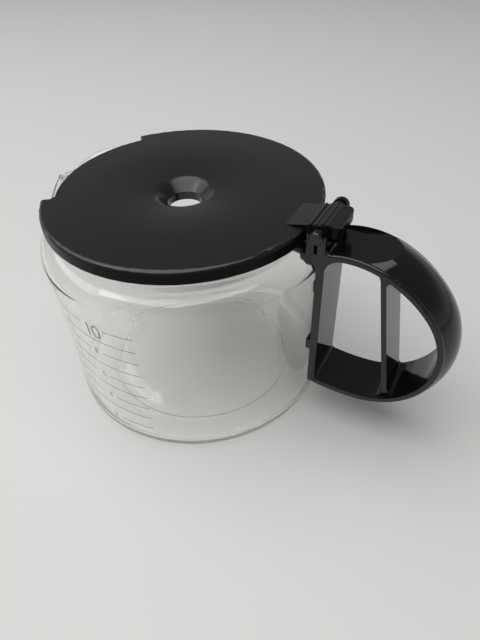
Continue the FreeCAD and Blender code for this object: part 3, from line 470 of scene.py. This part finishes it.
def makeBowl():
    half = [first + step * stride for first, stride, count in bowl["columns"] for step in range(count)]
    angles = half + [180.0] + [-angle for angle in reversed(half[1:])]
    outside, inside = bowlSection(0), bowlSection(bowl["wall"])
    mesh = bmesh.new()
    columns = []
    for angle in angles:
        section = outside[1:] + lipSection(abs(angle)) + inside[:0:-1]
        out = math.radians(180 + angle)
        columns.append([
            mesh.verts.new((r * mm * math.cos(out), r * mm * math.sin(out), z * mm)) for r, z in section
        ])
    under = mesh.verts.new((0, 0, outside[0][1] * mm))
    floor = mesh.verts.new((0, 0, inside[0][1] * mm))
    for index, column in enumerate(columns):
        other = columns[(index + 1) % len(columns)]
        mesh.faces.new((under, column[0], other[0]))
        mesh.faces.new((floor, other[-1], column[-1]))
        for row in range(len(column) - 1):
            mesh.faces.new((column[row], column[row + 1], other[row + 1], other[row]))
    bmesh.ops.recalc_face_normals(mesh, faces=mesh.faces)
    data = meshData("jugBowl", mesh)
    data.shade_smooth()
    piece = addObject(data, clearGlass)
    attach(piece, "jug")
    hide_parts("glass_jug")
    return piece


jugBowl = makeBowl()
print("bowl blown with", len(jugBowl.data.polygons), "faces")


# cup scale printed on the wall: a line for each cup from two up, with a number on every second one

cupScale = {
    "right": -78.2,
    "left": -114.2,
    "lineWidth": 0.4,
    "lineStep": 1.5,
    "inkFoot": 0.01,
    "inkDepth": 0.06,
    "samePlace": 0.000001,
    "numberMiddle": -97.3,
    "numberGap": 3.3,
    "numberHeight": 4.0,
    "topNumberMiddle": -95.6,
    "topNumberGap": 5.3,
    "topNumberHeight": 8.6,
    "topNumberDrop": 2.9,
    "numberThin": 0.016,
    "numberSpacing": 0.78,
    "numberSteps": 3,
    "figureShare": 0.7,  # how tall the font's figures are in its size
    "heights": {2: 13.8, 3: 22.1, 4: 29.8, 5: 37.9, 6: 45.9, 7: 54.0, 8: 62.5, 9: 70.8, 10: 79.5},
    "topCup": 10,
    "colour": (0.2, 0.2, 0.205),
    "darkest": 0.7,
    "palest": 1.5,
    "handling": {"Patch Size": 160.0, "Low": 0.35, "High": 0.6, "Dust": 0.0},
}


def makeInk(look):
    material, tree, shader = newMaterial("scaleInk")
    worn = useGroup(tree, handling, **look["handling"])
    shade = addNode(tree, "ShaderNodeMix", data_type="RGBA")
    shade.inputs["A"].default_value = (*[part * look["darkest"] for part in look["colour"]], 1)
    shade.inputs["B"].default_value = (*[part * look["palest"] for part in look["colour"]], 1)
    link(tree, worn.outputs["Roughness"], shade.inputs["Factor"])
    link(tree, shade.outputs["Result"], shader.inputs["Base Color"])
    link(tree, worn.outputs["Roughness"], shader.inputs["Roughness"])
    return material


def onWall(angle, height, lift):
    radius = wallRadius(height, 0) + lift
    turn = math.radians(angle)
    return radius * mm * math.cos(turn), radius * mm * math.sin(turn), height * mm


def printLine(mesh, start, end, height):
    # a thin closed bar of ink bent along the wall
    steps = max(2, round(abs(end - start) / cupScale["lineStep"]))
    half, foot, top = cupScale["lineWidth"] / 2, cupScale["inkFoot"], cupScale["inkDepth"]
    rings = []
    for step in range(steps + 1):
        angle = start + (end - start) * step / steps
        rings.append([
            mesh.verts.new(onWall(angle, height + rise, lift))
            for rise, lift in ((-half, foot), (half, foot), (half, top), (-half, top))
        ])
    for ring, other in zip(rings, rings[1:]):
        for corner in range(4):
            after = (corner + 1) % 4
            mesh.faces.new((ring[corner], ring[after], other[after], other[corner]))
    mesh.faces.new(rings[0])
    mesh.faces.new(rings[-1])


def printNumber(mesh, number, angle, height, size):
    # font numerals turned into ink that follows the wall
    words = bpy.data.curves.new("numeral", "FONT")
    words.body = str(number)
    words.align_x, words.align_y = "CENTER", "CENTER"
    words.size = size / cupScale["figureShare"]
    words.space_character = cupScale["numberSpacing"]
    words.extrude = cupScale["inkDepth"]  # gives the figures a back, below zero, and a front
    words.offset = -cupScale["numberThin"] * size
    words.resolution_u = cupScale["numberSteps"]
    carrier = bpy.data.objects.new("numeral", words)
    flat = bpy.data.meshes.new_from_object(carrier)
    perDegree = math.radians(1) * wallRadius(height, 0)
    lookup = []
    for vert in flat.vertices:
        lift = cupScale["inkFoot"] if vert.co.z < 0 else cupScale["inkDepth"]
        lookup.append(mesh.verts.new(onWall(angle + vert.co.x / perDegree, height + vert.co.y, lift)))
    for face in flat.polygons:
        mesh.faces.new([lookup[index] for index in face.vertices])
    bpy.data.objects.remove(carrier)
    bpy.data.curves.remove(words)
    bpy.data.meshes.remove(flat)


def makeCupScale():
    mesh = bmesh.new()
    for cup, height in cupScale["heights"].items():
        if cup % 2:
            printLine(mesh, cupScale["left"], cupScale["right"], height)
            continue
        part = "topNumber" if cup == cupScale["topCup"] else "number"
        middle, gap = cupScale[part + "Middle"], cupScale[part + "Gap"]
        printLine(mesh, cupScale["left"], middle - gap, height)
        printLine(mesh, middle + gap, cupScale["right"], height)
        drop = cupScale["topNumberDrop"] if cup == cupScale["topCup"] else 0
        printNumber(mesh, cup, middle, height - drop, cupScale[part + "Height"])
    bmesh.ops.remove_doubles(mesh, verts=mesh.verts, dist=cupScale["samePlace"])
    bmesh.ops.recalc_face_normals(mesh, faces=mesh.faces)
    piece = addObject(meshData("cupScale", mesh), makeInk(cupScale))
    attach(piece, "jug")
    return piece


scalePiece = makeCupScale()
print("cup scale printed with", len(scalePiece.data.polygons), "faces")


# steel strip and screw

steelLook = {
    "colour": (0.55, 0.55, 0.56),
    "streak": 900.0,
    "stretch": (0.03, 0.03, 1),
    "low": 0.22,
    "high": 0.38,
    "bump": 0.15,
    "depth": 0.00003,
}


def makeSteel(look):
    material, tree, shader = newMaterial("brushedSteel")
    place = addNode(tree, "ShaderNodeTexCoord")
    squeeze = addNode(tree, "ShaderNodeMapping")
    squeeze.inputs["Scale"].default_value = look["stretch"]
    streak = addNode(tree, "ShaderNodeTexNoise", Scale=look["streak"], Detail=4.0)
    spread = addNode(tree, "ShaderNodeMapRange", To_Min=look["low"], To_Max=look["high"])
    bump = addNode(tree, "ShaderNodeBump", Strength=look["bump"], Distance=look["depth"])
    link(tree, place.outputs["Object"], squeeze.inputs["Vector"])
    link(tree, squeeze.outputs["Vector"], streak.inputs["Vector"])
    link(tree, streak.outputs["Fac"], spread.inputs["Value"])
    link(tree, spread.outputs["Result"], shader.inputs["Roughness"])
    link(tree, streak.outputs["Fac"], bump.inputs["Height"])
    link(tree, bump.outputs["Normal"], shader.inputs["Normal"])
    shader.inputs["Base Color"].default_value = (*look["colour"], 1)
    shader.inputs["Metallic"].default_value = 1
    return material


brushedSteel = makeSteel(steelLook)


# lid moulding: the CAD lid with normals joined across its seam, so that the dished top shades as one surface

lidShell = {"samePlace": 0.000001, "joinBelow": 2.5, "joinWithin": 0.06}


def makeLidShell():
    data = nodes["lid"].data.copy()
    data.name = "lidShell"
    facing = [corner.vector.copy() for corner in nodes["lid"].data.corner_normals]
    places = {}
    for loop in data.loops:
        point = data.vertices[loop.vertex_index].co
        if point.xy.length < lidShell["joinWithin"]:
            spot = tuple(round(part / lidShell["samePlace"]) for part in point)
            places.setdefault(spot, []).append(loop.index)
    joined = list(facing)
    limit = math.cos(math.radians(lidShell["joinBelow"]))
    for corners in places.values():
        for corner in corners:
            near = [facing[other] for other in corners if facing[other].dot(facing[corner]) > limit]
            joined[corner] = sum(near, Vector()).normalized()
    data.normals_split_custom_set(joined)
    piece = addObject(data, lidPlastic)
    piece.matrix_world = nodes["lid"].matrix_world.copy()
    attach(piece, "lid")
    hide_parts("lid")
    return piece


lidPiece = makeLidShell()
print("lid shell made with", len(lidPiece.data.polygons), "faces")

dress(nodes["lid"], lidPlastic)
dress(nodes["handle"], handlePlastic)
dress(nodes["hinge_pin"], handlePlastic)
dress(nodes["glass_jug"], clearGlass)
dress(nodes["neck_band"], brushedSteel)
dress(nodes["band_screw"], brushedSteel)
print("materials on the jug's pieces")


# studio: pale floor, soft light, camera

studio = {
    "floorHalf": 3.0,
    "floorHeight": -0.0002,
    "floorColour": (0.70, 0.688, 0.677),
    "floorRoughness": 0.6,
    "wallColour": (0.49, 0.484, 0.478),
    "ceilingColour": (0.17, 0.168, 0.165),
    "wallTop": 0.42,
}
lamps = {
    "topSoftbox": {"place": (-0.14, -0.4, 1.6), "aim": (-0.12, -0.32, 0), "size": (1.9, 1.9), "power": 25.0},
    "windowSoftbox": {"place": (-1.3, -0.4, 1.4), "aim": (0, 0, 0.08), "size": (1.8, 1.1), "power": 9.0},
}


def makeFloor():
    data = bpy.data.meshes.new("floor")
    half = studio["floorHalf"]
    corners = [(x * half, y * half, studio["floorHeight"]) for x, y in ((-1, -1), (1, -1), (1, 1), (-1, 1))]
    data.from_pydata(corners, [], [(0, 1, 2, 3)])
    material, _, shader = newMaterial("paleFloor")
    shader.inputs["Base Color"].default_value = (*studio["floorColour"], 1)
    shader.inputs["Roughness"].default_value = studio["floorRoughness"]
    floor = addObject(data, material)


def makeWorld():
    world = bpy.data.worlds.new("studioWorld")
    world.use_nodes = True
    tree = world.node_tree
    sky = findNode(tree, "BACKGROUND")
    place = addNode(tree, "ShaderNodeTexCoord")
    upward = addNode(tree, "ShaderNodeSeparateXYZ")
    fade = addNode(tree, "ShaderNodeMapRange", interpolation_type="SMOOTHSTEP", From_Max=studio["wallTop"])
    tone = addNode(tree, "ShaderNodeMix", data_type="RGBA")  # pale walls low down, a darker ceiling above
    tone.inputs["A"].default_value = (*studio["wallColour"], 1)
    tone.inputs["B"].default_value = (*studio["ceilingColour"], 1)
    link(tree, place.outputs["Generated"], upward.inputs[0])
    link(tree, upward.outputs["Z"], fade.inputs["Value"])
    link(tree, fade.outputs["Result"], tone.inputs["Factor"])
    link(tree, tone.outputs["Result"], sky.inputs["Color"])
    bpy.context.scene.world = world


def makeLamp(name, setup):
    data = bpy.data.lights.new(name, "AREA")
    data.shape = "RECTANGLE"
    data.size, data.size_y = setup["size"]
    data.energy = setup["power"]
    lamp = bpy.data.objects.new(name, data)
    bpy.context.collection.objects.link(lamp)
    lamp.location = setup["place"]
    away = Vector(setup["aim"]) - Vector(setup["place"])
    lamp.rotation_euler = away.to_track_quat("-Z", "Y").to_euler()


photoCamera = {
    "eye": (137.53 * mm, -187.9 * mm, 238.25 * mm),
    "heading": 30.12,
    "pitch": 42.7,
    "roll": -2.63,
    "lens": 29.25,
    "clipStart": 0.01,
}


def makeCamera(setup):
    data = bpy.data.cameras.new("photoCamera")
    data.lens = setup["lens"]
    data.clip_start = setup["clipStart"]
    camera = bpy.data.objects.new("photoCamera", data)
    bpy.context.collection.objects.link(camera)
    turn = Matrix.Rotation(math.radians(setup["heading"]), 4, "Z")
    tilt = Matrix.Rotation(math.radians(90 - setup["pitch"]), 4, "X")
    roll = Matrix.Rotation(math.radians(setup["roll"]), 4, "Z")
    camera.matrix_world = Matrix.Translation(setup["eye"]) @ turn @ tilt @ roll
    bpy.context.scene.camera = camera


makeFloor()
makeWorld()
for lampName, lampSetup in lamps.items():
    makeLamp(lampName, lampSetup)
makeCamera(photoCamera)
bpy.context.scene.view_settings.view_transform = "Standard"
print("studio ready")
